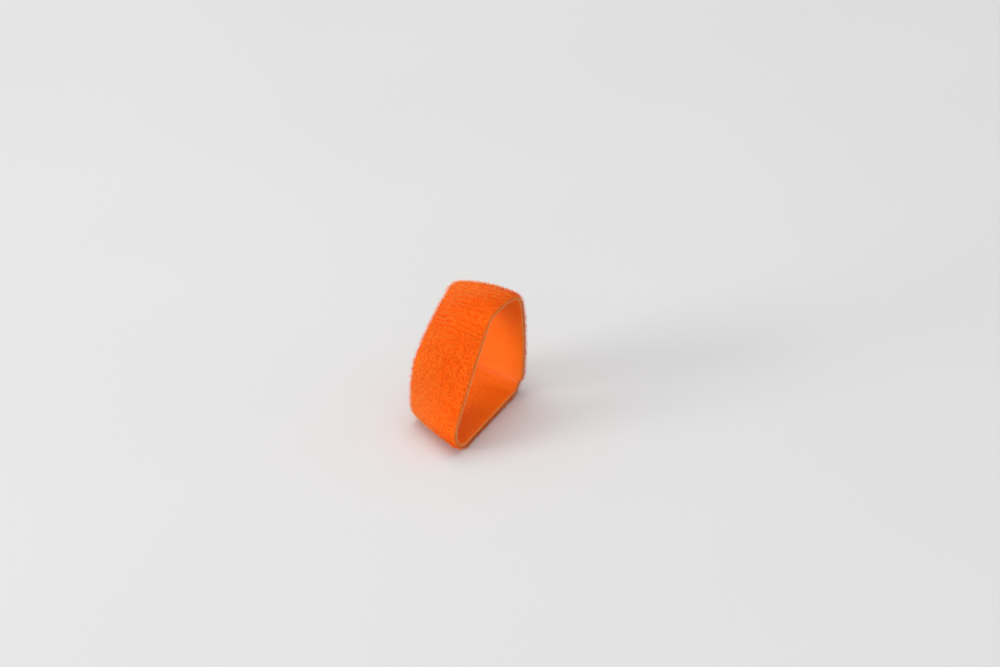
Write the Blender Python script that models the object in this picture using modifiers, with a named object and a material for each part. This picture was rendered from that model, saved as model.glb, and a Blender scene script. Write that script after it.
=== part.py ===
"""A hook and loop cable tie, closed: one strap wound round a bundle and lapped onto its own back.

The strap is a flat blank, square at its inner end and round-cornered at its tail. Its inner face, the
hooks, lies on six rounded corners, some of which stand further out at the strap's right edge than at its
left. X runs across the strap, Y from the front to the back and Z up, and the tie stands on its flat
underside. Sizes are in metres and angles in degrees.
"""

import math
from dataclasses import dataclass

import bmesh
import bpy
import numpy as np

NAME = "hook_and_loop_cable_tie"

# The blank
STRAP_LENGTH = 0.110
STRAP_WIDTH = 0.016
STRAP_THICKNESS = 0.0018
TAIL_CORNER_RADIUS = 0.0045
EDGE_ROUNDING = 0.0003

# The winding: where it starts on the back, how it climbs onto itself and how far it creeps to the left
INNER_END_BELOW_BACK = 0.0095
CLIMB_LENGTH = 0.005
LAP_CLEARANCE = 0.0002
CREEP_PER_TURN = 0.0016
CREEP_FREE_SHARE = 0.45

# The corners that the inner face lies on: their radius, and how softly the strap runs from one to the next
CORNER_RADIUS = 0.004
CORNER_SOFTNESS = 0.0005

# Their places: Y from the middle of the winding, and the rise above the two corners at the foot
BACK_SHOULDER_Y = 0.0100
BACK_SHOULDER_RISE = 0.0082
BACK_TOP_Y = 0.0092
BACK_TOP_RISE_LEFT = 0.0172
BACK_TOP_RISE_RIGHT = 0.0185
FRONT_TOP_Y_LEFT = 0.0038
FRONT_TOP_Y_RIGHT = 0.0021
FRONT_TOP_RISE_LEFT = 0.0129
FRONT_TOP_RISE_RIGHT = 0.0187
FRONT_SHOULDER_Y = -0.0037
FRONT_SHOULDER_RISE = 0.0088
FRONT_FOOT_Y_LEFT = -0.0037
FRONT_FOOT_Y_RIGHT = -0.0117
BACK_FOOT_Y = 0.0090

# The underside: what is within this height of the lowest point is pressed flat
PRESSED_HEIGHT = 0.00012

# The strap arches a little across its width, most of all on top
EVEN_ARCH = 0.0003
TOP_ARCH = 0.00075
TOP_ARCH_CENTRE = 80.0
TOP_ARCH_SPREAD = 34.0

# How fine the blank's faces are, and how finely the sections of the winding are tabulated
ROW_SPACING = 0.0009
TAIL_ROWS = 5
COLUMNS = 10
ROUNDING_SEGMENTS = 2
SECTIONS = 25
TURN_STEP = 0.25
NORMAL_TURN_STEP = 0.5
NORMAL_X_STEP = 0.0001

# The colour of the pile, as red, green and blue from 0 to 1 in linear light
PILE_COLOUR = (0.90, 0.13, 0.010, 1.0)
PILE_ROUGHNESS = 0.92
PILE_SHEEN = 0.35


@dataclass(frozen=True)
class Corner:
    """One rounded corner of the winding: where its centre is under the left and the right edge."""

    y_left: float
    y_right: float
    rise_left: float = 0.0
    rise_right: float = 0.0

    def centre(self, share):
        """Return the centre's y and z at a share of the way from the left edge to the right."""
        y = self.y_left * (1.0 - share) + self.y_right * share
        rise = self.rise_left * (1.0 - share) + self.rise_right * share
        return y, CORNER_RADIUS + STRAP_THICKNESS + rise


# The corners in the order in which the strap passes them, from the back upwards
CORNERS = (
    Corner(BACK_SHOULDER_Y, BACK_SHOULDER_Y, BACK_SHOULDER_RISE, BACK_SHOULDER_RISE),
    Corner(BACK_TOP_Y, BACK_TOP_Y, BACK_TOP_RISE_LEFT, BACK_TOP_RISE_RIGHT),
    Corner(FRONT_TOP_Y_LEFT, FRONT_TOP_Y_RIGHT, FRONT_TOP_RISE_LEFT, FRONT_TOP_RISE_RIGHT),
    Corner(FRONT_SHOULDER_Y, FRONT_SHOULDER_Y, FRONT_SHOULDER_RISE, FRONT_SHOULDER_RISE),
    Corner(FRONT_FOOT_Y_LEFT, FRONT_FOOT_Y_RIGHT),
    Corner(BACK_FOOT_Y, BACK_FOOT_Y),
)


def arch(turn, across):
    """Return how far the strap arches off its corners, from -1 at its left edge to 1 at its right."""
    away = (np.mod(turn - TOP_ARCH_CENTRE + 180.0, 360.0) - 180.0) / TOP_ARCH_SPREAD
    return (EVEN_ARCH + TOP_ARCH * np.exp(-away * away)) * (1.0 - across**2)


def resting_point(turn, x):
    """Return the point where the inner face rests on the corners, as arrays of x, y and z.

    A taut band round circles touches each of them where its outward direction points; the soft maximum over
    the corners rounds the step from one circle to the next. turn is 0 at the back and 90 on top.
    """
    across = x / (STRAP_WIDTH / 2)
    share = (across + 1.0) / 2
    outward = (np.cos(np.radians(turn)), np.sin(np.radians(turn)))
    reaches = []
    slopes = []
    for corner in CORNERS:
        y, z = corner.centre(share)
        reaches.append(y * outward[0] + z * outward[1])
        slopes.append(z * outward[0] - y * outward[1])
    reaches = np.array(reaches)
    furthest = reaches.max(axis=0)
    weights = np.exp((reaches - furthest) / CORNER_SOFTNESS)
    total = weights.sum(axis=0)
    reach = furthest + CORNER_SOFTNESS * np.log(total) + CORNER_RADIUS + arch(turn, across)
    slope = (weights * np.array(slopes)).sum(axis=0) / total
    y = reach * outward[0] - slope * outward[1]
    z = reach * outward[1] + slope * outward[0]
    return np.stack([x, y, z], axis=-1)


def outward_normal(turn, x):
    """Return the unit vector that points out of the winding at a resting point."""
    along = resting_point(turn + NORMAL_TURN_STEP, x) - resting_point(turn - NORMAL_TURN_STEP, x)
    across = resting_point(turn, x + NORMAL_X_STEP) - resting_point(turn, x - NORMAL_X_STEP)
    normal = np.cross(along, across)
    return normal / np.linalg.norm(normal, axis=-1, keepdims=True)


def creep(share):
    """Return how far the strap has moved along X after a share of a turn, which goes on past 1 on the lap."""
    return CREEP_PER_TURN * (CREEP_FREE_SHARE - share)


def smooth_step(value):
    """Return a smooth rise from 0 to 1 as the value goes from 0 to 1."""
    value = np.clip(value, 0.0, 1.0)
    return value * value * (3.0 - 2.0 * value)


def running_length(points):
    """Return the running length along points that follow each other on the first axis."""
    steps = np.linalg.norm(np.diff(points, axis=0), axis=-1)
    start = np.zeros_like(steps[:1])
    return np.concatenate([start, np.cumsum(steps, axis=0)])


class Winding:
    """The strap's path round the corners, as the share of one turn that it has made since the back.

    Each section across the winding has its own girth, so a row of the strap stays straight across it where
    every section has made the same share of its turn.
    """

    def __init__(self):
        """Tabulate the sections, then follow the strap's middle line from its inner end."""
        reach = STRAP_WIDTH / 2 + 2.0 * CREEP_PER_TURN
        self.places = np.linspace(-reach, reach, SECTIONS)
        self.turns = np.arange(-180.0, 720.0, TURN_STEP)
        turns, places = np.meshgrid(self.turns, self.places, indexing="ij")
        lengths = running_length(resting_point(turns, places))
        at_back = lengths[np.searchsorted(self.turns, 0.0)]
        girth = lengths[np.searchsorted(self.turns, 360.0)] - at_back
        self.section_shares = (lengths - at_back) / girth
        self.girth = girth[SECTIONS // 2]
        self.start = -INNER_END_BELOW_BACK / self.girth
        self.shares = np.linspace(self.start, self.start + 2.0, 4001)
        self.along = running_length(self.laid(self.shares, np.zeros_like(self.shares)))

    def turn(self, share, x):
        """Return the turn angle at which the section at x has made a share of its turn."""
        angles = [np.interp(share, self.section_shares[:, k], self.turns) for k in range(SECTIONS)]
        angles = np.stack(angles, axis=-1)
        place = (x - self.places[0]) / (self.places[1] - self.places[0])
        left = np.clip(place.astype(int), 0, SECTIONS - 2)
        rest = place - left
        each = np.arange(len(place))
        return angles[each, left] * (1.0 - rest) + angles[each, left + 1] * rest

    def laid(self, share, offset):
        """Return the points of the inner face at shares of a turn and offsets from the strap's middle line.

        The strap climbs before it meets its own inner end, and its underside is pressed flat at height 0.
        """
        x = creep(share) + offset
        turn = self.turn(share, x)
        covered = (share - self.start - 1.0) * self.girth / CLIMB_LENGTH + 1.0
        lift = (STRAP_THICKNESS + LAP_CLEARANCE) * smooth_step(covered)
        points = resting_point(turn, x) + outward_normal(turn, x) * lift[..., None]
        points[..., 2] = np.maximum(points[..., 2], STRAP_THICKNESS)
        return points

    def point(self, length, offset):
        """Return the points of the inner face at lengths along the blank and offsets from its middle line."""
        return self.laid(np.interp(length, self.along, self.shares), offset)


def row_lengths():
    """Return the lengths along the blank at which its rows lie, close together round the tail's corners."""
    tail = min(TAIL_CORNER_RADIUS, STRAP_WIDTH / 2)
    body = STRAP_LENGTH - tail
    rows = max(2, round(body / ROW_SPACING))
    corner = np.radians(np.linspace(0.0, 90.0, TAIL_ROWS + 1))[1:]
    return np.concatenate([np.linspace(0.0, body, rows + 1), body + tail * np.sin(corner)])


def half_width(length):
    """Return half the blank's width at a length, which follows the round corners at the tail."""
    tail = min(TAIL_CORNER_RADIUS, STRAP_WIDTH / 2)
    past = np.clip(length - (STRAP_LENGTH - tail), 0.0, tail)
    return STRAP_WIDTH / 2 - tail + np.sqrt(tail * tail - past * past)


def pile_material():
    """Return the material of the strap: bright orange loop pile, dull with a soft sheen."""
    material = bpy.data.materials.new("orange_loop_pile")
    material.use_nodes = True
    shader = material.node_tree.nodes["Principled BSDF"]
    shader.inputs["Base Color"].default_value = PILE_COLOUR
    shader.inputs["Roughness"].default_value = PILE_ROUGHNESS
    shader.inputs["Metallic"].default_value = 0.0
    shader.inputs["Sheen Weight"].default_value = PILE_SHEEN
    material.diffuse_color = PILE_COLOUR
    return material


def wound_sheet():
    """Return a mesh of the strap's inner face: a flat grid, wound row by row."""
    rows = row_lengths()
    sheet = bmesh.new()
    bmesh.ops.create_grid(sheet, x_segments=COLUMNS, y_segments=len(rows) - 1, size=0.5)
    flat = np.array([vert.co[:] for vert in sheet.verts])
    lengths = rows[np.rint((flat[:, 1] + 0.5) * (len(rows) - 1)).astype(int)]
    offsets = -2.0 * flat[:, 0] * half_width(lengths)
    for vert, place in zip(sheet.verts, Winding().point(lengths, offsets)):
        vert.co = place
    mesh = bpy.data.meshes.new("wound_sheet")
    sheet.to_mesh(mesh)
    sheet.free()
    return mesh


def thickened(sheet_mesh):
    """Return the sheet's mesh with the strap's thickness laid on outwards."""
    carrier = bpy.data.objects.new("sheet", sheet_mesh)
    bpy.context.scene.collection.objects.link(carrier)
    thickness = carrier.modifiers.new("thickness", "SOLIDIFY")
    thickness.thickness = STRAP_THICKNESS
    thickness.offset = 1.0
    bpy.context.view_layer.update()
    mesh = bpy.data.meshes.new_from_object(carrier.evaluated_get(bpy.context.evaluated_depsgraph_get()))
    bpy.data.objects.remove(carrier, do_unlink=True)
    return mesh


def press_flat(mesh):
    """Press what lies just above the mesh's lowest point down to one flat underside."""
    lowest = min(vert.co.z for vert in mesh.vertices)
    for vert in mesh.vertices:
        if vert.co.z < lowest + PRESSED_HEIGHT:
            vert.co.z = lowest


def strap(collection):
    """Make the strap: the wound sheet, given its thickness and small roundings on its cut edges."""
    mesh = thickened(wound_sheet())
    press_flat(mesh)
    mesh.name = "strap"
    mesh.materials.clear()
    mesh.materials.append(pile_material())
    mesh.shade_smooth()
    piece = bpy.data.objects.new("strap", mesh)
    collection.objects.link(piece)
    rounding = piece.modifiers.new("cut_edges", "BEVEL")
    rounding.width = min(EDGE_ROUNDING, STRAP_THICKNESS * 0.45)
    rounding.segments = ROUNDING_SEGMENTS
    rounding.limit_method = "ANGLE"
    rounding.angle_limit = math.radians(50.0)
    rounding.use_clamp_overlap = True
    return piece


def centre_on_base(piece):
    """Shift the piece's mesh so that its box stands centred on the origin with its base at height 0."""
    bpy.context.view_layer.update()
    evaluated = piece.evaluated_get(bpy.context.evaluated_depsgraph_get())
    corners_of_box = np.array(evaluated.bound_box)
    low = corners_of_box.min(axis=0)
    high = corners_of_box.max(axis=0)
    shift = np.array([-(low[0] + high[0]) / 2, -(low[1] + high[1]) / 2, -low[2]])
    for vert in piece.data.vertices:
        vert.co = np.array(vert.co) + shift


def clear_scene():
    """Remove every object that is in the file at the start."""
    for old in list(bpy.data.objects):
        bpy.data.objects.remove(old, do_unlink=True)


def main():
    """Build the tie in a collection named for it."""
    clear_scene()
    collection = bpy.data.collections.new(NAME)
    bpy.context.scene.collection.children.link(collection)
    centre_on_base(strap(collection))


main()
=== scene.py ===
"""Dress a closed hook and loop cable tie in its loop pile, its hooks and the fuzz of its cut edges.

Sizes are in metres, written as millimetres times MM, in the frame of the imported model: X across the tape, Y
from the front to the back and Z up. A place on the tape is a length along it from the inner end, an offset
from its middle line towards +X, and a rise off its hook face.
"""

import logging
import math
from dataclasses import dataclass, field, replace
from enum import Enum

import bmesh
import bpy
import numpy as np
from mathutils import Matrix, Vector, noise


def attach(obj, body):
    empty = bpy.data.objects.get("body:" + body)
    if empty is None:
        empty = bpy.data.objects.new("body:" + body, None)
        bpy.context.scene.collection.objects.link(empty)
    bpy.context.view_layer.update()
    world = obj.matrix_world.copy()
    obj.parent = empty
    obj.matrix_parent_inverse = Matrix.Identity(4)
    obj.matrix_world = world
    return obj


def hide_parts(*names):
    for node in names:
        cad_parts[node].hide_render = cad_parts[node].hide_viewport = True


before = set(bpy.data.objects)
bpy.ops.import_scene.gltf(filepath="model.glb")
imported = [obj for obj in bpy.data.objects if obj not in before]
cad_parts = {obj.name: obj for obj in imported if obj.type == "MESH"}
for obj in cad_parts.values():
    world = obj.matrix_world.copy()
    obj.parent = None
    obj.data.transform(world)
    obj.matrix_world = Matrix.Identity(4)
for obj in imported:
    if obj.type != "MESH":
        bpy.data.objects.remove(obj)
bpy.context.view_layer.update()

MM = 0.001
BODY = "root"
CAD_NODE = "strap"
BAKE_MAP = "OFBake"
WEAVE_MAP = "tape_mm"
LOG = logging.getLogger("cable_tie")

# A Mix node's inputs for colours go by place, because its names are shared with its other types
FACTOR, LOW, HIGH = 0, 6, 7
COLOURS = {"output": 2, "data_type": "RGBA"}
# The range that most of a noise node's values lie in
NOISE_RANGE = {"From Min": 0.3, "From Max": 0.7}

Array = np.ndarray
Span = tuple[float, float]


def linear_colour(code: str) -> tuple[float, float, float, float]:
    """Turn an sRGB hex code into the linear colour that a shader takes.

    Args:
        code: The colour as # and six hex digits.

    Returns:
        Red, green, blue and an alpha of 1.
    """
    parts = [int(code[place:place + 2], 16) / 255.0 for place in (1, 3, 5)]
    red, green, blue = (
        part / 12.92 if part <= 0.04045 else ((part + 0.055) / 1.055) ** 2.4 for part in parts
    )
    return red, green, blue, 1.0


def fill_inputs(node: bpy.types.Node, inputs: dict[str | int, object]) -> None:
    """Give a node's inputs their values, or link them to other nodes' outputs.

    Args:
        node: The node.
        inputs: A value, a hex colour or an output socket for each input, by name or by place.
    """
    for name, value in inputs.items():
        if isinstance(value, bpy.types.NodeSocket):
            node.id_data.links.new(value, node.inputs[name])
        else:
            node.inputs[name].default_value = linear_colour(value) if isinstance(value, str) else value


def add_node(
    tree: bpy.types.NodeTree,
    kind: str,
    inputs: dict[str | int, object] | None = None,
    output: str | int = 0,
    **settings: object,
) -> bpy.types.NodeSocket:
    """Add a node with its settings and fill its inputs.

    Args:
        tree: The node tree that the node goes into.
        kind: The node's type, without its ShaderNode prefix.
        inputs: What fills its inputs, as fill_inputs takes it.
        output: Which output is wanted, by name or by place.
        **settings: The node's own properties.

    Returns:
        That output.
    """
    node = tree.nodes.new(f"ShaderNode{kind}")
    for name, value in settings.items():
        setattr(node, name, value)
    fill_inputs(node, inputs or {})
    return node.outputs[output]


def smooth_step(value: Array) -> Array:
    """Return a smooth rise from 0 to 1 as the value goes from 0 to 1."""
    value = np.clip(value, 0.0, 1.0)
    return value * value * (3.0 - 2.0 * value)


def running_length(points: Array) -> Array:
    """Return the running length along points that follow each other on the first axis."""
    steps = np.linalg.norm(np.diff(points, axis=0), axis=-1)
    return np.concatenate([np.zeros_like(steps[:1]), np.cumsum(steps, axis=0)])


def unit(vectors: Array) -> Array:
    """Return the vectors on the last axis at a length of 1."""
    return vectors / np.maximum(np.linalg.norm(vectors, axis=-1, keepdims=True), 1e-12)


@dataclass(frozen=True)
class Noise:
    """Smooth noise over the tape, of its own size along and across it, and on a layer of its own."""

    along: float
    across: float
    layer: float

    def at(self, lengths: Array, offsets: Array) -> Array:
        """Return the noise, from about -1 to 1, at lengths along the tape and offsets across it."""
        places = zip((lengths / self.along).ravel(), (offsets / self.across).ravel())
        return np.array([noise.noise((*place, self.layer)) for place in places]).reshape(lengths.shape)


@dataclass(frozen=True)
class Corner:
    """One rounded corner of the winding: where its centre is under the tape's left and right edge."""

    y_left: float
    y_right: float
    rise_left: float = 0.0
    rise_right: float = 0.0


@dataclass
class Winding:
    """The path of the tape's hook face: once round six rounded corners, and on over its own back."""

    length: float = 110.0 * MM
    width: float = 16.0 * MM
    thickness: float = 1.8 * MM
    tail_radius: float = 4.5 * MM
    inner_end_below_back: float = 9.5 * MM
    climb: float = 5.0 * MM
    lap_clearance: float = 0.2 * MM
    creep_per_turn: float = 1.6 * MM
    creep_free_share: float = 0.45
    corner_radius: float = 4.0 * MM
    corner_softness: float = 0.5 * MM
    even_arch: float = 0.3 * MM
    top_arch: float = 0.75 * MM
    top_arch_centre: float = 80.0
    top_arch_spread: float = 34.0
    origin: Span = (0.1398 * MM, -0.5105 * MM)
    corners: tuple[Corner, ...] = (
        Corner(10.0 * MM, 10.0 * MM, 8.2 * MM, 8.2 * MM),
        Corner(9.2 * MM, 9.2 * MM, 17.2 * MM, 18.5 * MM),
        Corner(3.8 * MM, 2.1 * MM, 12.9 * MM, 18.7 * MM),
        Corner(-3.7 * MM, -3.7 * MM, 8.8 * MM, 8.8 * MM),
        Corner(-3.7 * MM, -11.7 * MM),
        Corner(9.0 * MM, 9.0 * MM),
    )
    sections: int = 25
    turn_step: float = 0.25
    share_steps: int = 4000
    normal_turn: float = 0.5
    normal_x: float = 0.1 * MM
    table_step: float = 0.25 * MM
    table_margin: float = 0.8 * MM
    table_columns: int = 36

    def __post_init__(self) -> None:
        """Tabulate the turn of each section, and then the places and directions over the whole tape."""
        reach = self.width / 2 + 2.0 * self.creep_per_turn
        self._places = np.linspace(-reach, reach, self.sections)
        self._turns = np.arange(-180.0, 720.0, self.turn_step)
        turns, places = np.meshgrid(self._turns, self._places, indexing="ij")
        lengths = running_length(self._resting_point(turns, places))
        at_back = lengths[np.searchsorted(self._turns, 0.0)]
        girth = lengths[np.searchsorted(self._turns, 360.0)] - at_back
        self._section_shares = (lengths - at_back) / girth
        self.girth = girth[self.sections // 2]
        self._start = -self.inner_end_below_back / self.girth
        shares = np.linspace(self._start, self._start + 2.0, self.share_steps + 1)
        along = running_length(self._laid(shares, np.zeros_like(shares)))
        tail_share = np.interp(self.length, along, shares)
        self.lap_end = float(np.interp(tail_share - 1.0, shares, along))
        self._lengths = np.arange(-self.table_margin, self.length + self.table_margin, self.table_step)
        half = self.width / 2 + self.table_margin
        self._offsets = np.linspace(-half, half, self.table_columns)
        lengths, offsets = np.meshgrid(self._lengths, self._offsets, indexing="ij")
        shares = np.interp(lengths, along, shares) + np.minimum(lengths, 0.0) / self.girth
        points = self._laid(shares.ravel(), offsets.ravel()).reshape(*lengths.shape, 3)
        forward = unit(np.gradient(points, axis=0))
        outward = unit(np.cross(forward, np.gradient(points, axis=1)))
        self._table = np.concatenate([points, forward, outward], axis=-1)

    def _resting_point(self, turn: Array, x: Array) -> Array:
        """Return where the hook face rests on the corners, by the soft maximum of their reach.

        Args:
            turn: The outward direction in degrees, 0 at the back and 90 on top.
            x: The place across the winding.

        Returns:
            The points, with their x, y and z on the last axis.
        """
        across = x / (self.width / 2)
        share = (across + 1.0) / 2
        back, up = np.cos(np.radians(turn)), np.sin(np.radians(turn))
        reaches, slopes = [], []
        for corner in self.corners:
            y = corner.y_left * (1.0 - share) + corner.y_right * share
            rise = corner.rise_left * (1.0 - share) + corner.rise_right * share
            z = rise + self.corner_radius + self.thickness
            reaches.append(y * back + z * up)
            slopes.append(z * back - y * up)
        furthest = np.max(reaches, axis=0)
        weights = np.exp((np.array(reaches) - furthest) / self.corner_softness)
        total = weights.sum(axis=0)
        away = (np.mod(turn - self.top_arch_centre + 180.0, 360.0) - 180.0) / self.top_arch_spread
        arch = (self.even_arch + self.top_arch * np.exp(-away * away)) * (1.0 - across**2)
        reach = furthest + self.corner_softness * np.log(total) + self.corner_radius + arch
        slope = (weights * np.array(slopes)).sum(axis=0) / total
        return np.stack([x, reach * back - slope * up, reach * up + slope * back], axis=-1)

    def _laid(self, share: Array, offset: Array) -> Array:
        """Return the points of the hook face at shares of a turn and offsets from the middle line.

        Args:
            share: How much of a turn the tape has made, past 1 on the lap.
            offset: The offset from the tape's middle line.

        Returns:
            The points, one row each.
        """
        x = self.creep_per_turn * (self.creep_free_share - share) + offset
        angles = np.stack(
            [np.interp(share, self._section_shares[:, k], self._turns) for k in range(self.sections)], axis=-1
        )
        place = (x - self._places[0]) / (self._places[1] - self._places[0])
        left = np.clip(place.astype(int), 0, self.sections - 2)
        rest = place - left
        each = np.arange(len(place))
        turn = angles[each, left] * (1.0 - rest) + angles[each, left + 1] * rest
        ahead, behind = turn + self.normal_turn, turn - self.normal_turn
        forward = self._resting_point(ahead, x) - self._resting_point(behind, x)
        across = self._resting_point(turn, x + self.normal_x) - self._resting_point(turn, x - self.normal_x)
        covered = (share - self._start - 1.0) * self.girth / self.climb + 1.0
        lift = (self.thickness + self.lap_clearance) * smooth_step(covered)
        points = self._resting_point(turn, x) + unit(np.cross(forward, across)) * lift[..., None]
        points[..., 2] = np.maximum(points[..., 2], self.thickness)
        return points + np.array([*self.origin, 0.0])

    def half_width(self, lengths: Array) -> Array:
        """Return half the tape's width at lengths along it, which follows the round corners of the tail."""
        past = np.clip(lengths - (self.length - self.tail_radius), 0.0, self.tail_radius)
        return self.width / 2 - self.tail_radius + np.sqrt(self.tail_radius**2 - past**2)

    def frames(self, lengths: Array, offsets: Array) -> tuple[Array, ...]:
        """Return the place on the hook face and the three directions of the tape there.

        Args:
            lengths: The lengths along the tape.
            offsets: The offsets from its middle line.

        Returns:
            The points, and the unit vectors along the tape, across it and out of the winding, one row each.
        """
        row = (lengths - self._lengths[0]) / self.table_step
        column = (offsets - self._offsets[0]) / (self._offsets[1] - self._offsets[0])
        top = np.clip(row.astype(int), 0, len(self._lengths) - 2)
        left = np.clip(column.astype(int), 0, self.table_columns - 2)
        down, over = (row - top)[:, None], (column - left)[:, None]
        near, far = (
            self._table[edge, left] * (1 - over) + self._table[edge, left + 1] * over
            for edge in (top, top + 1)
        )
        mixed = near * (1 - down) + far * down
        outward = unit(mixed[:, 6:9])
        across = unit(np.cross(outward, mixed[:, 3:6]))
        return mixed[:, 0:3], np.cross(across, outward), across, outward

    def rooted(
        self,
        lengths: Array,
        offsets: Array,
        rise: Array | float,
        lean: Array,
        turn: Array,
        size: Array,
        face: float = 1.0,
    ) -> tuple[Array, Array]:
        """Root strands on the tape, each leaning its own way.

        Args:
            lengths: The lengths along the tape.
            offsets: The offsets from its middle line.
            rise: How far off the hook face their feet are.
            lean: Their slopes, first towards +X of the tape and then towards the tail.
            turn: How far their own planes are turned from across the tape, in radians.
            size: Their size sideways, through their own planes and upwards.
            face: 1 on the pile's face and -1 on the hooks' face.

        Returns:
            Their feet, and their three directions at those sizes.
        """
        points, forward, across, outward = self.frames(lengths, offsets)
        upwards = unit(face * outward + across * lean[0][:, None] + forward * lean[1][:, None])
        feet = across * np.cos(turn)[:, None] + forward * np.sin(turn)[:, None]
        sideways = unit(feet - upwards * (feet * upwards).sum(axis=-1, keepdims=True))
        axes = np.stack([sideways, np.cross(upwards, sideways), upwards], axis=1)
        return points + outward * np.expand_dims(rise, -1), axes * np.expand_dims(size, -1)


@dataclass(frozen=True)
class PileRelief:
    """How the pile swells, and where its tips are painted paler for sheen and light, with a little wear: rows
    across the tape, which break up into tufts down the front.
    """

    # The rows that the pile is combed into over the top bend, and the dark dashes between them
    row_pitch: float = 1.28 * MM
    wander: float = 0.4
    wandering: Noise = Noise(3.0 * MM, 3.0 * MM, 30.7)
    dashes: Noise = Noise(0.64 * MM, 1.25 * MM, 14.3)
    row_level: float = 0.4
    dash_weight: float = 0.5
    fine_weight: float = 0.6
    gap_depth: float = 1.4
    gap_level: float = 0.8
    gap_dashes: float = 2.2
    gap_limit: float = 1.4
    combed_from: float = 22.0 * MM
    combed_to: float = 39.0 * MM
    # The tufts that they break up into
    tufts: Noise = Noise(0.56 * MM, 0.8 * MM, 3.1)
    fine_tufts: Noise = Noise(0.56 / 1.9 * MM, 0.8 / 1.9 * MM, 8.7)
    tuft_weight: float = 1.1
    tuft_fine_weight: float = 0.7
    # How strong both are, and how far they calm down towards the foot
    contrast: float = 2.2
    calming: float = 0.9
    calm_from: float = 46.0 * MM
    fade: float = 6.0 * MM
    # The dye's patches, and where the pile's tips are painted paler: painted sheen at each bend, by its
    # place, its reach and how much sheen it gets, a little wear all over and painted light along the left
    # side
    patches: Noise = Noise(1.3 * MM, 1.3 * MM, 21.9)
    bends: tuple[tuple[float, float, float], ...] = ((25.0 * MM, 4.5 * MM, 0.8), (61.0 * MM, 9.0 * MM, 0.45))
    even_wear_and_sheen: float = 0.04
    left_painted_light: float = 0.42
    left_painted_light_at_bends: float = 0.3
    half_width: float = 8.0 * MM

    def combed(self, lengths: Array) -> Array:
        """Return how far the pile is combed into rows, from 0 where it is loose to 1 where they are plain."""
        rise = smooth_step((lengths - self.combed_from) / self.fade + 0.5)
        return rise * smooth_step((self.combed_to - lengths) / self.fade + 0.5)

    def height(self, lengths: Array, offsets: Array) -> Array:
        """Return the swell of the pile, from about -1 in its gaps to 1 on its tufts.

        Args:
            lengths: The lengths along the tape.
            offsets: The offsets from its middle line.

        Returns:
            One number for each place.
        """
        fine = self.fine_tufts.at(lengths, offsets)
        dashes = self.dashes.at(lengths, offsets)
        turn = 2.0 * np.pi * (lengths / self.row_pitch + self.wander * self.wandering.at(lengths, offsets))
        gaps = (0.5 - 0.5 * np.cos(turn)) ** 2
        gaps = gaps * np.clip(self.gap_level + self.gap_dashes * dashes, 0.0, self.gap_limit)
        rows = self.row_level + self.dash_weight * dashes + self.fine_weight * fine - self.gap_depth * gaps
        combed = self.combed(lengths)
        loose = self.tuft_weight * self.tufts.at(lengths, offsets) + self.tuft_fine_weight * fine
        swell = (1.0 - combed) * loose + combed * rows
        calm = smooth_step((lengths - self.calm_from) / self.fade)
        return np.clip((self.contrast - self.calming * calm) * swell, -1.0, 1.0)

    def wear(self, lengths: Array, offsets: Array) -> Array:
        """Return how far the pile's tips are painted paler: painted sheen where the tape bends, painted light
        along its left side and a little wear all over.

        Args:
            lengths: The lengths along the tape.
            offsets: The offsets from its middle line.

        Returns:
            One number from 0 to 1 for each place.
        """
        bent = sum(painted_sheen * np.exp(-(((lengths - bend) / reach) ** 2)) for bend, reach, painted_sheen in self.bends)
        leftward = -offsets / self.half_width
        paled = self.even_wear_and_sheen + bent + leftward * (self.left_painted_light + self.left_painted_light_at_bends * bent)
        return np.clip(paled, 0.0, 1.0)


@dataclass(frozen=True)
class Finish:
    """One finish, named for what the surface is made of and how it was made."""

    name: str

    def shading(self, tree: bpy.types.NodeTree) -> dict[str, object]:
        """Add the pattern's nodes to a material's tree, and return what fills its shader's inputs."""
        raise NotImplementedError

    def material(self) -> bpy.types.Material:
        """Make the material of this finish.

        Returns:
            The material, with its pattern laid into its shader.
        """
        material = bpy.data.materials.new(self.name)
        material.use_nodes = True
        tree = material.node_tree
        fill_inputs(tree.nodes["Principled BSDF"], self.shading(tree))
        return material


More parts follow.
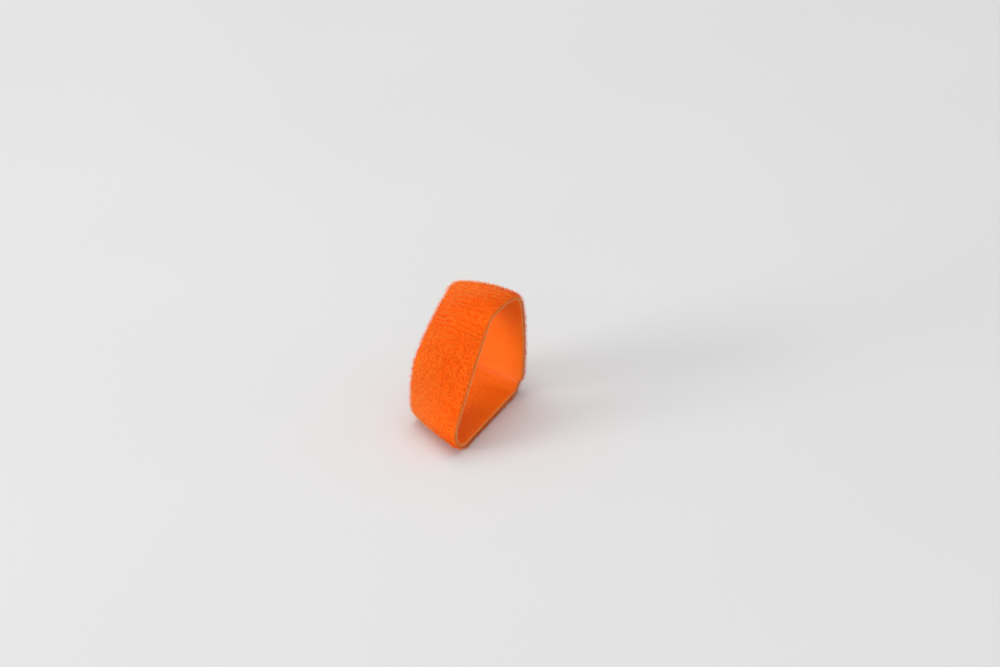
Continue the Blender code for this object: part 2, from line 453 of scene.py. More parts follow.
@dataclass(frozen=True)
class BrushedNylonLoops(Finish):
    """Brushed nylon loop yarn, dyed orange: matt and soft, with painted shade at its foot, and its tip paler
    by its share of wear and painted sheen.
    """

    # Mixed by the shade, which holds painted shade as well as the dye's own tones
    pale: str = "#FF9C2C"
    deep: str = "#FC5000"
    # Painted shade at the foot of each strand, where the pile shades itself
    foot: str = "#F45400"
    # Paler tips: painted sheen and light on the pile, with a little wear, and a frayed tone at random on the
    # loose fibres
    frayed_and_sheen: str = "#FFB05C"
    frayed_and_sheen_from: float = -0.5
    roughness: Span = (0.6, 0.8)
    sheen: float = 0.05
    sheen_tint: str = "#FFA050"
    specular: float = 0.04
    # Coarser than a real filament's crimp, which would be too fine to show
    crimp: float = 0.11 * MM
    crimp_depth: float = 0.012 * MM

    def shading(self, tree: bpy.types.NodeTree) -> dict[str, object]:
        """Lay the yarn's colour, by its shade, its share of wear and painted sheen and how high up a strand
        it is, with painted shade at its foot, and its crimp.

        Args:
            tree: The material's nodes.

        Returns:
            The shader's inputs.
        """
        place = add_node(tree, "TexCoord", output="Object")
        shade, tip, wear = (
            add_node(tree, "Attribute", output="Fac", attribute_name=name)
            for name in ("shade", "tip", "wear")
        )
        # Dye tones and painted shade, mixed by the shade attribute
        dyed_and_shaded = add_node(tree, "Mix", {FACTOR: shade, LOW: self.deep, HIGH: self.pale}, **COLOURS)
        rooted = add_node(tree, "Mix", {FACTOR: tip, LOW: self.foot, HIGH: dyed_and_shaded}, **COLOURS)
        # How far the tips go pale, by their share of wear and painted sheen
        paled = add_node(tree, "MapRange", {"Value": tip, "From Min": self.frayed_and_sheen_from, "To Max": wear})
        crimps = add_node(tree, "TexNoise", {"Vector": place, "Scale": 1.0 / self.crimp})
        least, most = self.roughness
        gloss = {"Value": crimps, **NOISE_RANGE, "To Min": least, "To Max": most}
        relief = {"Height": crimps, "Strength": 0.4, "Distance": self.crimp_depth}
        return {
            "Base Color": add_node(tree, "Mix", {FACTOR: paled, LOW: rooted, HIGH: self.frayed_and_sheen}, **COLOURS),
            "Roughness": add_node(tree, "MapRange", gloss),
            "Normal": add_node(tree, "Bump", relief),
            "Sheen Weight": self.sheen,
            "Sheen Tint": self.sheen_tint,
            "Specular IOR Level": self.specular,
        }


@dataclass(frozen=True)
class KnittedGround(Finish):
    """Knitted nylon ground under the pile: the same dye, matt, with painted shade in the hollows between its
    stitches.
    """

    name: str = "knitted_nylon_ground"
    high: str = "#FF7E08"
    # Painted shade in the hollows: the bump's lowest places take this colour
    low: str = "#EE5600"
    # Coarser than real filament, which would be too fine to show
    fibre: float = 0.16 * MM
    stitch: float = 0.45 * MM
    stitch_share: float = 0.45
    depth: float = 0.06 * MM
    roughness: float = 0.85
    specular: float = 0.15

    def shading(self, tree: bpy.types.NodeTree) -> dict[str, object]:
        """Lay fine matted fibre over the stitches, on the map that follows the tape.

        Args:
            tree: The material's nodes.

        Returns:
            The shader's inputs.
        """
        place = add_node(tree, "UVMap", uv_map=WEAVE_MAP)
        matted = {"Vector": place, "Scale": MM / self.fibre, "Detail": 3.0, "Distortion": 1.6}
        fibres = add_node(tree, "TexNoise", matted)
        stitches = add_node(tree, "TexVoronoi", {"Vector": place, "Scale": MM / self.stitch})
        woven = add_node(tree, "Mix", {"Factor": self.stitch_share, "A": fibres, "B": stitches})
        relief = {"Height": woven, "Strength": 0.8, "Distance": self.depth}
        return {
            "Base Color": add_node(tree, "Mix", {FACTOR: woven, LOW: self.low, HIGH: self.high}, **COLOURS),
            "Normal": add_node(tree, "Bump", relief),
            "Roughness": self.roughness,
            "Specular IOR Level": self.specular,
        }


@dataclass(frozen=True)
class MouldedNylonHooks(Finish):
    """Moulded nylon, dyed orange right through: smoother than the pile, so a hook catches a small light."""

    body: str = "#FB6C04"
    paled: str = "#FF8818"
    roughness: float = 0.42
    roughness_spread: Span = (-0.08, 0.12)
    specular: float = 0.22
    ior: float = 1.53
    # Further apart than a real film's drawing lines, so that they show
    line: float = 0.3 * MM
    line_depth: float = 0.02 * MM
    line_stretch: tuple[float, float, float] = (1.0, 0.15, 0.15)
    cloud: float = 1.0 * MM

    def shading(self, tree: bpy.types.NodeTree) -> dict[str, object]:
        """Lay the dye's faint clouds and the film's drawing lines, which run along the tape.

        Args:
            tree: The material's nodes.

        Returns:
            The shader's inputs.
        """
        place = add_node(tree, "TexCoord", output="Object")
        drawn = add_node(tree, "Mapping", {"Vector": place, "Scale": self.line_stretch})
        lines = add_node(tree, "TexNoise", {"Vector": drawn, "Scale": 1.0 / self.line, "Detail": 3.0})
        clouds = add_node(tree, "TexNoise", {"Vector": place, "Scale": 1.0 / self.cloud})
        least, most = (self.roughness + spread for spread in self.roughness_spread)
        gloss = {"Value": lines, **NOISE_RANGE, "To Min": least, "To Max": most}
        relief = {"Height": lines, "Strength": 0.5, "Distance": self.line_depth}
        return {
            "Base Color": add_node(tree, "Mix", {FACTOR: clouds, LOW: self.body, HIGH: self.paled}, **COLOURS),
            "Roughness": add_node(tree, "MapRange", gloss),
            "Normal": add_node(tree, "Bump", relief),
            "IOR": self.ior,
            "Specular IOR Level": self.specular,
        }


@dataclass(frozen=True)
class SlitEdge(Finish):
    """The slit side of the tape: a broken pale line of bare film, and cut yarn ends in a browner orange,
    which is painted shade.
    """

    name: str = "slit_tape_edge"
    film: str = "#F4BE94"
    film_stained: str = "#E0803C"
    # Painted shade: the cut yarn's browner orange stands for the shade along the tape's side
    yarn_painted_shade: str = "#D0640C"
    yarn_light: str = "#F88C22"
    film_share: float = 0.2
    film_blur: float = 0.04
    yarn: float = 0.22 * MM
    yarn_depth: float = 0.08 * MM
    yarn_range: Span = (0.35, 0.65)
    roughness: float = 0.7

    def shading(self, tree: bpy.types.NodeTree) -> dict[str, object]:
        """Lay the film's line and the yarn ends by how far each point is from the hook face.

        Args:
            tree: The material's nodes.

        Returns:
            The shader's inputs.
        """
        place = add_node(tree, "TexCoord", output="Object")
        rise = add_node(tree, "Attribute", output="Fac", attribute_name="rise")
        yarns = add_node(tree, "TexNoise", {"Vector": place, "Scale": 1.0 / self.yarn, "Detail": 3.0})
        least, most = self.yarn_range
        ends = add_node(tree, "MapRange", {"Value": yarns, "From Min": least, "From Max": most})
        bare, cut = (
            add_node(tree, "Mix", {FACTOR: ends, LOW: low, HIGH: high}, **COLOURS)
            for low, high in ((self.film_stained, self.film), (self.yarn_painted_shade, self.yarn_light))
        )
        least, most = self.film_share - self.film_blur, self.film_share + self.film_blur
        past_film = add_node(tree, "MapRange", {"Value": rise, "From Min": least, "From Max": most})
        relief = {"Height": yarns, "Strength": 0.9, "Distance": self.yarn_depth}
        return {
            "Base Color": add_node(tree, "Mix", {FACTOR: past_film, LOW: bare, HIGH: cut}, **COLOURS),
            "Normal": add_node(tree, "Bump", relief),
            "Roughness": self.roughness,
        }


@dataclass(frozen=True)
class PaleTable(Finish):
    """A matt white table top with the faintest unevenness, so that it stays plain."""

    name: str = "matt_white_table"
    pale: str = "#D7D7D7"
    deep: str = "#D3D3D3"
    cloud: float = 90.0 * MM
    roughness: float = 0.7

    def shading(self, tree: bpy.types.NodeTree) -> dict[str, object]:
        """Lay the table's faint clouds.

        Args:
            tree: The material's nodes.

        Returns:
            The shader's inputs.
        """
        place = add_node(tree, "TexCoord", output="Object")
        clouds = add_node(tree, "TexNoise", {"Vector": place, "Scale": 1.0 / self.cloud, "Detail": 1.0})
        toned = add_node(tree, "Mix", {FACTOR: clouds, LOW: self.deep, HIGH: self.pale}, **COLOURS)
        return {"Base Color": toned, "Roughness": self.roughness}


def mesh_of(shape: bmesh.types.BMesh, name: str) -> bpy.types.Mesh:
    """Turn a bmesh into a mesh, and free it.

    Args:
        shape: The bmesh.
        name: The mesh's name.

    Returns:
        The mesh.
    """
    mesh = bpy.data.meshes.new(name)
    shape.to_mesh(mesh)
    shape.free()
    return mesh


@dataclass
class Strand:
    """A short closed strand with a path in its own upright plane, and a bake map over its rings and sides."""

    path: list[tuple[float, float]]
    radii: list[float]
    sides: int = 3

    def _ring_frame(self, ring: int) -> Matrix:
        """Return the place and turn of one ring.

        Args:
            ring: Which of the path's points it lies round.

        Returns:
            The matrix that brings its middle onto that point and its axis along the path there.
        """
        before = Vector(self.path[max(ring - 1, 0)])
        after = Vector(self.path[min(ring + 1, len(self.path) - 1)])
        step = (after - before).normalized()
        turned = Matrix(((step.y, 0.0, step.x), (0.0, 1.0, 0.0), (-step.x, 0.0, step.y))).to_4x4()
        x, z = self.path[ring]
        return Matrix.Translation((x, 0.0, z)) @ turned

    def mesh(self, name: str) -> bpy.types.Mesh:
        """Sweep a ring along the path, close both its ends and lay the bake map over it.

        Args:
            name: The mesh's name.

        Returns:
            The strand's mesh, with the attribute tip running from 0 at its feet to 1 at its highest point.
        """
        strand = bmesh.new()
        ring_of, side_of = strand.verts.layers.int.new("ring"), strand.verts.layers.int.new("side")
        tip = strand.verts.layers.float.new("tip")
        verts = bmesh.ops.create_circle(strand, cap_ends=False, segments=self.sides, radius=1.0)["verts"]
        for side, vert in enumerate(verts):
            vert[side_of] = side
        edges = list(strand.edges)
        ends = [list(edges)]
        placed = Matrix.Identity(4)
        highest = max(z for _, z in self.path)
        for ring in range(len(self.path)):
            if ring:
                made = bmesh.ops.extrude_edge_only(strand, edges=edges)["geom"]
                verts = [item for item in made if isinstance(item, bmesh.types.BMVert)]
                edges = [item for item in made if isinstance(item, bmesh.types.BMEdge)]
                edges = [edge for edge in edges if all(vert in verts for vert in edge.verts)]
            wanted = self._ring_frame(ring) @ Matrix.Scale(self.radii[ring], 4)
            bmesh.ops.transform(strand, matrix=wanted @ placed.inverted(), verts=verts)
            placed = wanted
            for vert in verts:
                vert[ring_of] = ring
                vert[tip] = max(self.path[ring][1], 0.0) / highest
        ends.append(edges)
        for rim in ends:
            bmesh.ops.contextual_create(strand, geom=rim)
        bmesh.ops.recalc_face_normals(strand, faces=strand.faces)
        bake = strand.loops.layers.uv.new(BAKE_MAP)
        for face in strand.faces:
            wraps = {vert[side_of] for vert in face.verts} == {0, self.sides - 1}
            for corner in face.loops:
                side = corner.vert[side_of]
                if wraps and side == 0:
                    side = self.sides
                corner[bake].uv = (corner.vert[ring_of] / (len(self.path) - 1), side / self.sides)
        return mesh_of(strand, name)


@dataclass
class Setting:
    """Where each copy of a strand goes: its foot, its three sized directions and its cell of the bake map.

    Where the finish reads them, each copy also has a shade, partly painted shade, and a share of wear and
    painted sheen.
    """

    foot: Array
    axes: Array
    cell: Array
    cells: tuple[int, int]
    shade: Array | None = None
    wear: Array | None = None

    def part(self, chosen: Array) -> "Setting":
        """Return the setting of the chosen copies alone."""
        arrays = {name: values[chosen] for name, values in vars(self).items() if isinstance(values, Array)}
        return replace(self, **arrays)


def link_piece(mesh: bpy.types.Mesh, name: str) -> bpy.types.Object:
    """Link a new object for a mesh to the scene.

    Args:
        mesh: The mesh, which is named after the object.
        name: The object's name.

    Returns:
        The object.
    """
    mesh.name = name
    piece = bpy.data.objects.new(name, mesh)
    bpy.context.scene.collection.objects.link(piece)
    return piece


def finished_mesh(carrier: bpy.types.Object) -> bpy.types.Mesh:
    """Apply an object's modifiers to its mesh, and remove the object.

    Args:
        carrier: The object.

    Returns:
        The mesh that its modifiers make.
    """
    bpy.context.view_layer.update()
    mesh = bpy.data.meshes.new_from_object(carrier.evaluated_get(bpy.context.evaluated_depsgraph_get()))
    bpy.data.objects.remove(carrier, do_unlink=True)
    return mesh


def planted(strand: Strand, setting: Setting, name: str, finish: bpy.types.Material) -> bpy.types.Object:
    """Repeat a strand with an array, set each copy where it grows and give it a map cell of its own.

    Args:
        strand: The strand that is repeated.
        setting: Where each copy goes.
        name: The piece's name.
        finish: Its material.

    Returns:
        One piece with every copy. Nothing in it goes under the table.
    """
    above_table, cell_margin = 0.01 * MM, 0.08
    master = strand.mesh(name)
    own = np.array([vert.co[:] for vert in master.vertices])
    corners = np.array([corner.uv[:] for corner in master.uv_layers[BAKE_MAP].data])
    carrier = link_piece(master, name)
    copies = carrier.modifiers.new("copies", "ARRAY")
    copies.count = len(setting.foot)
    copies.use_relative_offset = False
    mesh = finished_mesh(carrier)
    places = setting.foot[:, None, :] + np.einsum("vj,kji->kvi", own, setting.axes)
    places[..., 2] = np.maximum(places[..., 2], above_table)
    mesh.vertices.foreach_set("co", places.astype(np.float32).ravel())
    inset = cell_margin + (1.0 - 2.0 * cell_margin) * corners
    laid = (setting.cell[:, None, :] + inset[None, :, :]) / np.array(setting.cells, float)
    mesh.uv_layers[BAKE_MAP].data.foreach_set("uv", laid.astype(np.float32).ravel())
    for attribute, values in (("shade", setting.shade), ("wear", setting.wear)):
        if values is not None:
            of_points = mesh.attributes.new(attribute, "FLOAT", "POINT")
            of_points.data.foreach_set("value", np.repeat(values, len(own)).astype(np.float32))
    mesh.shade_smooth()
    mesh.update()
    mesh.materials.append(finish)
    return link_piece(mesh, name)


class TapeFace(Enum):
    """The tape's three kinds of face, by the place of their finish among its finishes."""

    BED = 0
    FILM = 1
    RIM = 2


@dataclass
class Ground:
    """The tape itself: knitted ground with the hook film on its inner face, slit at both sides."""

    winding: Winding
    relief: PileRelief
    film_rise: float = 0.36 * MM
    bed_rise: float = 1.42 * MM
    swell: float = 0.14 * MM
    inset: float = 0.14 * MM
    side_rounding: float = 0.35 * MM
    side_reach: float = 1.0 * MM
    above_table: float = 0.02 * MM
    columns: int = 44
    rows: int = 300
    tail_rows: int = 12

    def _row_lengths(self) -> Array:
        """Place the rows of faces, close together round the tail's corners.

        Returns:
            The length along the tape of each line between two rows.
        """
        body = self.winding.length - self.winding.tail_radius
        corner = np.radians(np.linspace(0.0, 90.0, self.tail_rows + 1))[1:]
        reach = self.winding.tail_radius - self.inset
        return np.concatenate([np.linspace(self.inset, body, self.rows + 1), body + reach * np.sin(corner)])

    def _sheet(self) -> tuple[bpy.types.Mesh, Array, Array]:
        """Wind a flat grid at the height of the film.

        Returns:
            The mesh, and for each of its vertices the length and the offset.
        """
        lengths = self._row_lengths()
        sheet = bmesh.new()
        bmesh.ops.create_grid(sheet, x_segments=self.columns, y_segments=len(lengths) - 1, size=0.5)
        flat = np.array([vert.co[:] for vert in sheet.verts])
        along = lengths[np.rint((flat[:, 1] + 0.5) * (len(lengths) - 1)).astype(int)]
        offset = -2.0 * flat[:, 0] * (self.winding.half_width(along) - self.inset)
        points, _, _, outward = self.winding.frames(along, offset)
        for vert, place in zip(sheet.verts, points + outward * self.film_rise):
            vert.co = place
        return mesh_of(sheet, "sheet"), along, offset

    def _bed(self, along: Array, offset: Array) -> Array:
        """Raise the pile's bed, which swells and sinks with the relief and rounds off at the sides.

        Args:
            along: The lengths along the tape.
            offset: The offsets from its middle line.

        Returns:
            The points, one row each.
        """
        points, _, _, outward = self.winding.frames(along, offset)
        to_side = np.minimum(self.winding.half_width(along) - np.abs(offset), self.winding.length - along)
        rounded = self.side_rounding * (1.0 - smooth_step(to_side / self.side_reach))
        rise = self.bed_rise + self.swell * self.relief.height(along, offset) - rounded
        points = points + outward * rise[:, None]
        points[:, 2] = np.maximum(points[:, 2], self.above_table)
        return points

    def _lay_maps(self, mesh: bpy.types.Mesh, along: Array, offset: Array) -> None:
        """Lay the weave's map, in millimetres, and the bake map.

        Args:
            mesh: The finished tape, its outer shell's vertices before its inner one's.
            along: The length of each of its vertices.
            offset: The offset of each of its vertices.
        """
        vertex = np.array([corner.vertex_index for corner in mesh.loops])
        faces = [(face.material_index, face.loop_total) for face in mesh.polygons]
        on_rim = np.repeat(*np.transpose(faces)) == TapeFace.RIM.value
        outer = (vertex < len(mesh.vertices) // 2).astype(float)
        across = offset[vertex] / self.winding.width + 0.5
        down = along[vertex] / self.winding.length
        weave = np.stack([offset[vertex], along[vertex]], axis=-1) / MM
        mesh.uv_layers.new(name=WEAVE_MAP).data.foreach_set("uv", weave.astype(np.float32).ravel())
        # On the bake map the film's face comes first, then the bed, and then the rim's two sides
        margin, face, bed_from, rim_from, rim_step, rim = 0.01, 0.42, 0.44, 0.90, 0.05, 0.045
        on_side = rim_from + rim_step * (across > 0.5) + rim * outer
        column = np.where(on_rim, on_side, margin + face * across + bed_from * outer)
        bake = np.stack([column, margin + (1.0 - 2.0 * margin) * down], axis=-1)
        mesh.uv_layers.new(name=BAKE_MAP).data.foreach_set("uv", bake.astype(np.float32).ravel())

    def build(self) -> bpy.types.Object:
        """Make the tape: the wound sheet, its thickness, the swell of its bed, its maps and its finishes.

        Returns:
            The tape.
        """
        sheet, along, offset = self._sheet()
        carrier = link_piece(sheet, "tape_ground")
        thickness = carrier.modifiers.new("thickness", "SOLIDIFY")
        thickness.thickness = self.bed_rise - self.film_rise
        thickness.offset = 1.0
        thickness.material_offset = TapeFace.FILM.value
        thickness.material_offset_rim = TapeFace.RIM.value
        for finish in (KnittedGround(), MouldedNylonHooks("moulded_nylon_hook_film"), SlitEdge()):
            sheet.materials.append(finish.material())
        mesh = finished_mesh(carrier)
        for vert, place in zip(mesh.vertices, self._bed(along, offset)):
            vert.co = place
        rise = mesh.attributes.new("rise", "FLOAT", "POINT")
        rise.data.foreach_set("value", np.repeat([1.0, 0.0], len(along)).astype(np.float32))
        self._lay_maps(mesh, np.tile(along, 2), np.tile(offset, 2))
        mesh.shade_smooth()
        mesh.update()
        return link_piece(mesh, "tape_ground")


class PileZone(Enum):
    """The pile's four pieces: their names, and the shares of the tape's length where each begins and ends."""

    BACK = ("pile_back", 0.0, 0.25)
    FRONT = ("pile_front", 0.25, 0.5)
    UNDERSIDE = ("pile_underside", 0.5, 0.75)
    LAP = ("pile_lap", 0.75, 1.0)


@dataclass(frozen=True)
class Combing:
    """An amount that is one thing where the pile is loose and another where it is combed into rows."""

    loose: float
    combed: float

    def at(self, combed: Array) -> Array:
        """Return the amount where the pile is combed so far, from 0 to 1."""
        return self.loose + (self.combed - self.loose) * combed


@dataclass
class Pile:
    """The loop pile: rows of small nylon loops that lean every way, and out over the sides of the tape."""

    winding: Winding
    relief: PileRelief
    ground: Ground
    # Real filament is finer and grows closer than the render can show, so the loops are coarser and fewer
    row_pitch: float = 0.27 * MM
    loop_pitch: float = 0.335 * MM
    loop_width: float = 0.36 * MM
    loop_height: float = 0.50 * MM
    loop_roundness: float = 0.8
    yarn_radius: float = 0.030 * MM
    root: float = 0.04 * MM
    stations: int = 6
    bulges: Span = (0.25, 0.4)
    # How evenly the loops grow, and how much each differs
    stagger: float = 0.25
    jitter: float = 0.42
    jitter_along: Combing = Combing(1.3, 0.8)
    lean: Combing = Combing(0.55, 0.25)
    combed_lean: float = 0.25
    turn: Combing = Combing(0.5 * math.pi, 0.2 * math.pi)
    breadths: Span = (0.7, 1.35)
    heights: Span = (0.75, 1.2)
    # How they follow the relief and the tape's sides
    swell_height: Combing = Combing(0.26, 0.4)
    # Painted sheen: the tips on the tufts are paler, those in the gaps less so
    swell_painted_sheen: Combing = Combing(0.4, 1.0)
    side_lean: float = 1.25
    side_reach: float = 0.9 * MM
    side_sink: float = 0.25 * MM
    side_shortening: float = 0.35
    bare_side: float = 0.12 * MM
    bare_end: float = 0.1 * MM
    hidden_behind: float = 2.4 * MM
    # How pale they look: the dye's own patches and a tone for each loop, and painted shade in the relief's
    # gaps, over the combed rows and towards the right side
    shade: Combing = Combing(0.5, 0.28)
    swell_shade: Combing = Combing(0.48, 0.8)
    patch_shade: float = 0.544
    # Painted shade, deeper towards the right side, where less light falls
    right_painted_shade: float = 0.16
    loop_shade: float = 0.12
    seed: int = 11

    def _arch(self, bulge: float) -> Strand:
        """Shape one loop, an arch from foot to foot.

        Args:
            bulge: How much wider its head is than its feet, as a share.

        Returns:
            The loop.
        """
        path = []
        for turn in np.linspace(0.0, math.pi, self.stations):
            width = self.loop_width / 2 * (1.0 + bulge * math.sin(turn))
            rise = self.loop_height * math.sin(turn) ** self.loop_roundness - self.root
            path.append((-width * math.cos(turn), rise))
        return Strand(path, [self.yarn_radius] * self.stations)

    def _shown(self, length: Array, offset: Array) -> Array:
        """Choose the loops that grow: none on the very edges, and none where the lap covers them.

        Args:
            length: The lengths along the tape.
            offset: The offsets from its middle line.

        Returns:
            Whether each loop grows.
        """
        end = self.winding.length
        side = self.winding.half_width(length) - np.abs(offset)
        shown = (side > self.bare_side) & (length > self.bare_end) & (length < end - self.bare_end)
        over_it = length + end - self.winding.lap_end
        hidden_half = self.winding.half_width(over_it) - self.hidden_behind
        return shown & ((over_it > end - self.hidden_behind) | (np.abs(offset) > hidden_half))

    def _setting(self) -> Setting:
        """Set the loops, row after row from the inner end to the tail.

        Returns:
            The setting of the loops that grow.
        """
        random = np.random.default_rng(self.seed)
        rows = int(self.winding.length / self.row_pitch)
        per_row = int(self.winding.width / self.loop_pitch)
        row, column = (grid.ravel() for grid in np.meshgrid(range(rows), range(per_row), indexing="ij"))
        stagger = self.stagger * (row % 2 * 2 - 1)
        jitter = random.uniform(-self.jitter, self.jitter, (2, len(row)))
        length = (row + 0.5) * self.row_pitch
        combed = self.relief.combed(length)
        length = length + jitter[0] * self.row_pitch * self.jitter_along.at(combed)
        offset = (column + 0.5 + stagger + jitter[1] - per_row / 2) * self.loop_pitch
        swell = self.relief.height(length, offset)
        side = self.winding.half_width(length) - np.abs(offset)
        near_side = 1.0 - smooth_step(side / self.side_reach)
        near_tail = 1.0 - smooth_step((self.winding.length - length) / self.side_reach)
        lean = random.normal(0.0, 1.0, (2, len(row))) * self.lean.at(combed)
        lean[0] += np.sign(offset) * near_side * self.side_lean
        lean[1] += self.combed_lean * combed + near_tail * self.side_lean
        turn = random.uniform(-1.0, 1.0, len(row)) * self.turn.at(combed)
        broad = random.uniform(*self.breadths, len(row))
        tall = random.uniform(*self.heights, len(row)) * (1.0 + self.swell_height.at(combed) * swell)
        tall = tall * (1.0 - self.side_shortening * near_side)
        rise = self.ground.bed_rise + self.ground.swell * swell - self.side_sink * near_side
        size = np.stack([broad, np.ones(len(row)), tall], axis=-1)
        foot, axes = self.winding.rooted(length, offset, rise, lean, turn, size)
        # Painted shade: deeper in the relief's gaps, over the combed rows and towards the right side; the
        # patches and each loop's own tone are the dye's
        shade = self.shade.at(combed) + self.swell_shade.at(combed) * swell
        shade = shade + self.patch_shade * self.relief.patches.at(length, offset)
        shade = shade - self.right_painted_shade * offset / self.relief.half_width
        shade = shade + random.normal(0.0, self.loop_shade, len(row))
        # Painted sheen and light, with a little wear: tips paler at the bends, on the left side and on top of
        # the tufts
        wear = self.relief.wear(length, offset) * (1.0 + self.swell_painted_sheen.at(combed) * swell)
        cell = np.stack([column, row], axis=-1).astype(float)
        shade, wear = np.clip(shade, 0.0, 1.0), np.clip(wear, 0.0, 1.0)
        return Setting(foot, axes, cell, (per_row, rows), shade, wear).part(self._shown(length, offset))

    def build(self) -> list[bpy.types.Object]:
        """Plant the loops.

        Returns:
            One piece for each zone of the tape.
        """
        setting = self._setting()
        finish = BrushedNylonLoops("brushed_nylon_loop_yarn").material()
        pieces = []
        for number, zone in enumerate(PileZone):
            name, begins, ends = zone.value
            rows = setting.cell[:, 1] / setting.cells[1]
            own = setting.part((rows >= begins) & (rows < ends))
            own.cell[:, 1] -= begins * setting.cells[1]
            own.cells = (setting.cells[0], math.ceil((ends - begins) * setting.cells[1]) + 1)
            pieces.append(planted(self._arch(self.bulges[number % 2]), own, name, finish))
        return pieces


@dataclass
class Fuzz:
    """Single fibres that have worked loose: a thin haze over the pile and a thicker one at its sides."""

    winding: Winding
    ground: Ground
    side_fibres: int = 7000
    face_fibres: int = 2900
    # Like the loops, the fibres are thicker and fewer than real ones
    fibre_length: float = 0.95 * MM
    fibre_radius: float = 0.016 * MM
    thinning: float = 0.35
    bend: float = 2.1
    curl: Span = (0.5, 0.6)
    stations: int = 4
    # Where and how they grow, from the least to the most
    lengths: Span = (0.004, 0.996)
    insets: Span = (0.12 * MM, 0.4 * MM)
    face_share: float = 0.94
    side_rises: Span = (0.55 * MM, 1.4 * MM)
    side_leans: Span = (0.3, 3.0)
    lean: float = 0.6
    sizes: Span = (0.5, 1.3)
    face_size: float = 0.9
    shades: Span = (0.2, 0.7)
    wears: Span = (0.0, 0.6)
    seed: int = 23

    def _fibre(self) -> Strand:
        """Shape one fibre, a curl that rises from its root, bends over and thins out.

        Returns:
            The fibre.
        """
        shares = np.linspace(0.0, 1.0, self.stations)
        out = self.curl[0] * self.fibre_length * (1.0 - np.cos(self.bend * shares))
        up = self.curl[1] * self.fibre_length * np.sin(self.bend * shares)
        return Strand(list(zip(out, up)), list(self.fibre_radius * (1.0 - self.thinning * shares)))

    def _setting(self) -> Setting:
        """Set the fibres, first those of the two sides and then those of the whole face.

        Returns:
            The setting of every fibre.
        """
        random = np.random.default_rng(self.seed)
        count = self.side_fibres + self.face_fibres
        number = np.arange(count)
        on_side = number < self.side_fibres
        length = random.uniform(*self.lengths, count) * self.winding.length
        half = self.winding.half_width(length)
        hand = np.where(random.random(count) < 0.5, -1.0, 1.0)
        at_side = hand * (half - random.uniform(*self.insets, count))
        offset = np.where(on_side, at_side, random.uniform(-self.face_share, self.face_share, count) * half)
        rise = np.where(on_side, random.uniform(*self.side_rises, count), self.ground.bed_rise)
        lean = random.normal(0.0, self.lean, (2, count))
        lean[0] = np.where(on_side, hand * random.uniform(*self.side_leans, count), lean[0])
        turn = random.uniform(-math.pi, math.pi, count)
        size = random.uniform(*self.sizes, count) * np.where(on_side, 1.0, self.face_size)
        foot, axes = self.winding.rooted(length, offset, rise, lean, turn, size[:, None])
        columns = math.ceil(math.sqrt(count))
        cell = np.stack([number % columns, number // columns], axis=-1).astype(float)
        shade, wear = (random.uniform(*between, count) for between in (self.shades, self.wears))
        return Setting(foot, axes, cell, (columns, columns), shade, wear)

    def build(self) -> bpy.types.Object:
        """Plant the fibres, in one piece."""
        # The foot colour here is painted shade at each fibre's root
        finish = BrushedNylonLoops("loose_nylon_fibre", pale="#FF9838", deep="#FF7014", foot="#FF6A0C")
        return planted(self._fibre(), self._setting(), "pile_fuzz", finish.material())


@dataclass
class HookField:
    """The moulded hooks: rows along the tape, each hook bent over against its neighbour in the next row."""

    winding: Winding
    ground: Ground
    row_pitch: float = 0.64 * MM
    hook_pitch: float = 0.62 * MM
    stem: float = 0.062 * MM
    broadening: float = 1.5
    tilt: float = 0.06
    bare_side: float = 0.35 * MM
    bare_end: float = 0.4 * MM
    # A hook's path as shares of its height, from under the film to its tip, and its thickness on the way
    path: tuple[tuple[float, float], ...] = (
        (-0.10, -0.06), (-0.07, 0.25), (-0.02, 0.62), (0.12, 0.86), (0.32, 0.84), (0.43, 0.62),
    )
    taper: tuple[float, ...] = (1.5, 1.15, 0.95, 0.85, 0.72, 0.45)
    seed: int = 37

    def _hook(self) -> Strand:
        """Return one hook: a tapered stem that bends over into a crook, as high as the film lies deep."""
        path = [(x * self.ground.film_rise, z * self.ground.film_rise) for x, z in self.path]
        return Strand(path, [self.stem * size for size in self.taper], sides=4)

    def _setting(self) -> Setting:
        """Set the hooks. They stand on the film, so up for them is into the winding.

        Returns:
            The setting of the hooks that stand clear of the tape's edges.
        """
        random = np.random.default_rng(self.seed)
        rows = int(self.winding.length / self.row_pitch) - 1
        per_row = int(self.winding.width / self.hook_pitch)
        row, column = (grid.ravel() for grid in np.meshgrid(range(rows), range(per_row), indexing="ij"))
        length = (row + 1.0 + 0.5 * (column % 2)) * self.row_pitch
        offset = (column + 0.5 - per_row / 2) * self.hook_pitch
        tilt = random.normal(0.0, self.tilt, (2, len(row)))
        turn = np.where(column % 2 == 0, 0.5, -0.5) * math.pi
        size = np.array([1.0, self.broadening, 1.0])
        foot, axes = self.winding.rooted(
            length, offset, self.ground.film_rise, tilt, turn, size, face=-1.0
        )
        cell = np.stack([column, row], axis=-1).astype(float)
        clear_of_side = np.abs(offset) < self.winding.half_width(length) - self.bare_side
        clear_of_end = length < self.winding.length - self.bare_end
        return Setting(foot, axes, cell, (per_row, rows)).part(clear_of_side & clear_of_end)

    def build(self) -> bpy.types.Object:
        """Mould the hooks, in one piece."""
        finish = MouldedNylonHooks("moulded_nylon_hooks", body="#FF7A08", paled="#FF9A2C", roughness=0.34)
        return planted(self._hook(), self._setting(), "hook_field", finish.material())


@dataclass(frozen=True)
class Softbox:
    """A square soft light turned towards the tie, with its power in watts."""

    name: str
    place: tuple[float, float, float]
    side: float
    power: float


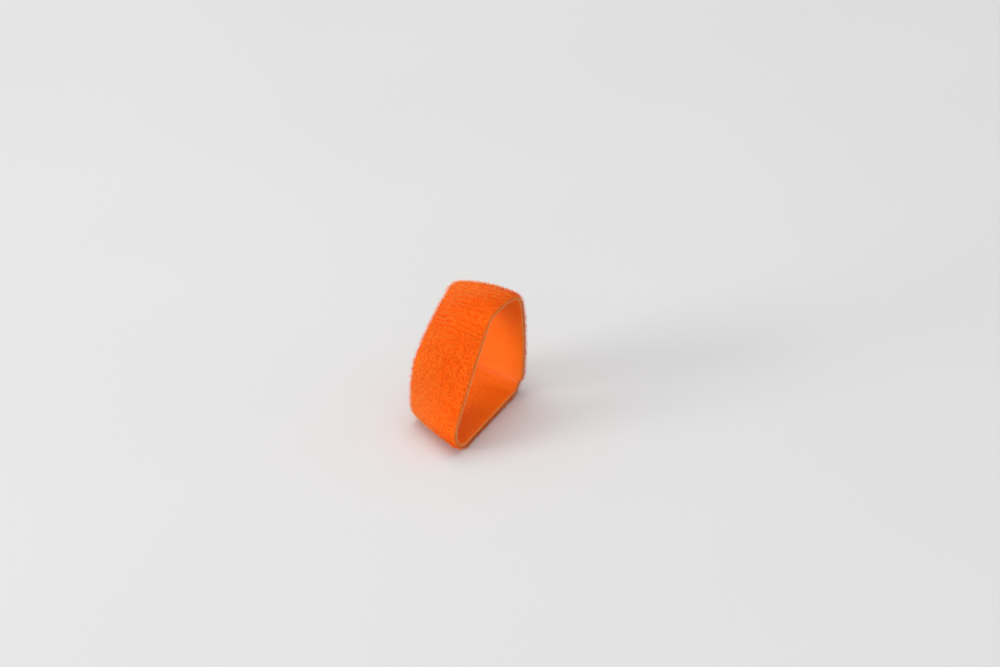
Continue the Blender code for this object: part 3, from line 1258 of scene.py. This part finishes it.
@dataclass
class Studio:
    """The table, the soft lights and the camera at the photograph's viewing angle."""

    winding: Winding
    azimuth: float = 28.15
    elevation: float = 31.35
    lens: float = 86.27
    sensor_width: float = 36.0
    to_the_right: float = 8.93 * MM
    upwards: float = 19.2 * MM
    backwards: float = 566.6 * MM
    table_reach: float = 3.0
    table_faces: int = 8
    room_light: float = 0.63
    softboxes: tuple[Softbox, ...] = (
        Softbox("overhead_softbox", (-0.15, 0.10, 1.10), side=0.9, power=5.6),
        Softbox("left_softbox", (-0.72, -0.84, 0.28), side=0.5, power=8.8),
    )

    def _table(self) -> None:
        """Lay the table top under the tie."""
        plane = bmesh.new()
        bmesh.ops.create_grid(
            plane, x_segments=self.table_faces, y_segments=self.table_faces, size=self.table_reach
        )
        mesh = mesh_of(plane, "table_top")
        mesh.materials.append(PaleTable().material())
        link_piece(mesh, "table_top")

    def _room(self) -> None:
        """Fill the room with even white light."""
        world = bpy.data.worlds.new("studio_room")
        world.use_nodes = True
        fill_inputs(world.node_tree.nodes["Background"], {"Color": "#FFFFFF", "Strength": self.room_light})
        bpy.context.scene.world = world

    def _lamps(self) -> None:
        """Hang the softboxes."""
        for softbox in self.softboxes:
            light = bpy.data.lights.new(softbox.name, "AREA")
            light.shape = "SQUARE"
            light.size = softbox.side
            light.energy = softbox.power
            lamp = bpy.data.objects.new(softbox.name, light)
            lamp.location = softbox.place
            lamp.rotation_euler = Vector(softbox.place).to_track_quat("Z", "Y").to_euler()
            bpy.context.scene.collection.objects.link(lamp)

    def _camera(self) -> None:
        """Set up the camera as far from the tie, as high and with as long a lens as in the photograph."""
        turn, height = math.radians(self.azimuth), math.radians(self.elevation)
        right = Vector((math.cos(turn), math.sin(turn), 0.0))
        level = math.cos(height)
        back = Vector((math.sin(turn) * level, -math.cos(turn) * level, math.sin(height)))
        up = back.cross(right)
        data = bpy.data.cameras.new("camera")
        data.lens = self.lens
        data.sensor_width = self.sensor_width
        camera = bpy.data.objects.new("camera", data)
        middle = Vector((*self.winding.origin, 0.0))
        camera.location = middle + right * self.to_the_right + up * self.upwards + back * self.backwards
        camera.rotation_euler = Matrix((right, up, back)).transposed().to_euler()
        bpy.context.scene.collection.objects.link(camera)
        bpy.context.scene.camera = camera

    def build(self) -> None:
        """Set up the table, the light and the camera."""
        self._table()
        self._room()
        self._lamps()
        self._camera()
        bpy.context.scene.view_settings.view_transform = "Standard"


@dataclass
class CableTie:
    """The whole tie: the tape's ground, and the pile, fuzz and hooks that grow on it."""

    winding: Winding
    relief: PileRelief = field(default_factory=PileRelief)

    def build(self) -> list[bpy.types.Object]:
        """Returns:
            The pieces, the ground first.
        """
        ground = Ground(self.winding, self.relief)
        tape = ground.build()
        grown = [
            *Pile(self.winding, self.relief, ground).build(),
            Fuzz(self.winding, ground).build(),
            HookField(self.winding, ground).build(),
        ]
        for piece in (tape, *grown):
            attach(piece, BODY)
        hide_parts(CAD_NODE)
        return [tape, *grown]


def main() -> None:
    """Build the scene and report each piece's triangles."""
    logging.basicConfig(level=logging.INFO, format="%(name)s: %(message)s")
    winding = Winding()
    Studio(winding).build()
    for piece in CableTie(winding).build():
        piece.data.calc_loop_triangles()
        LOG.info("%s: %d triangles", piece.name, len(piece.data.loop_triangles))


if __name__ == "__main__":
    main()
